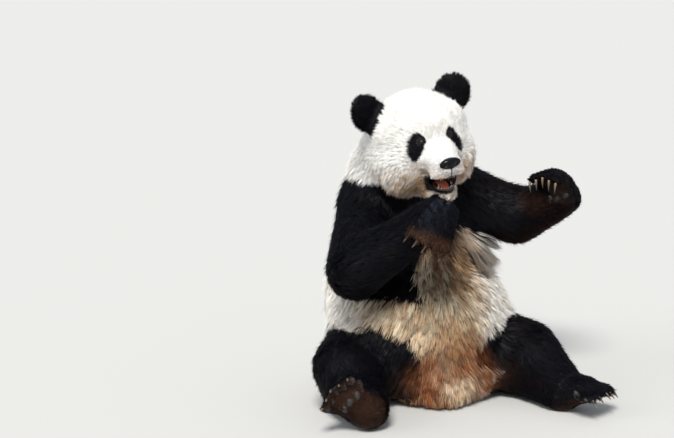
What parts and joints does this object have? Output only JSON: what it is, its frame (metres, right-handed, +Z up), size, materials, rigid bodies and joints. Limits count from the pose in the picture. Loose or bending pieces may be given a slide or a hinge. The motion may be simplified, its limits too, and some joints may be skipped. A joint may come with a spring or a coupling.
{
  "type": "giant panda",
  "caption": "Giant panda sitting upright, life size, one hand at its chest and the other held out, mouth open: a still museum-style model.",
  "frame": {"origin": "centre of the bounding box, at the level of the floor that the panda sits on", "axes": "+Z is up, the panda faces -Y, and its own left side is +X"},
  "size_m": [0.8932, 0.8046, 0.9552],
  "materials": {
    "white_coat": "dense creamy-white fur, stained buff and rust low on the belly",
    "black_coat": "dense near-black fur with a faint cool sheen, browner on the undersides and soles",
    "claw_horn": "pale worn horn",
    "eye": "wet, dark brown",
    "nose_leather": "black, finely pebbled, moist",
    "tongue": "moist, reddish",
    "teeth": "ivory, yellower at the gums"
  },
  "bodies": {
    "root": {"head": "white_coat", "jaw": "white_coat", "ear_left": "black_coat", "ear_right": "black_coat", "neck": "white_coat", "chest": "black_coat", "belly": "white_coat", "tail": "white_coat", "upper_arm_left": "black_coat", "upper_arm_right": "black_coat", "forearm_left": "black_coat", "forearm_right": "black_coat", "hand_left": "black_coat", "hand_right": "black_coat", "thigh_left": "black_coat", "thigh_right": "black_coat", "shin_left": "black_coat", "shin_right": "black_coat", "foot_left": "black_coat", "foot_right": "black_coat", "eye_left": "eye", "eye_right": "eye", "nose": "nose_leather", "tongue": "tongue", "teeth_upper": "teeth", "teeth_lower": "teeth", "claw_hand_left_1": "claw_horn", "claw_hand_left_2": "claw_horn", "claw_hand_left_3": "claw_horn", "claw_hand_left_4": "claw_horn", "claw_hand_left_5": "claw_horn", "claw_hand_right_1": "claw_horn", "claw_hand_right_2": "claw_horn", "claw_hand_right_3": "claw_horn", "claw_hand_right_4": "claw_horn", "claw_hand_right_5": "claw_horn", "claw_foot_left_1": "claw_horn", "claw_foot_left_2": "claw_horn", "claw_foot_left_3": "claw_horn", "claw_foot_left_4": "claw_horn", "claw_foot_left_5": "claw_horn", "claw_foot_right_1": "claw_horn", "claw_foot_right_2": "claw_horn", "claw_foot_right_3": "claw_horn", "claw_foot_right_4": "claw_horn", "claw_foot_right_5": "claw_horn"}
  },
  "joints": []
}
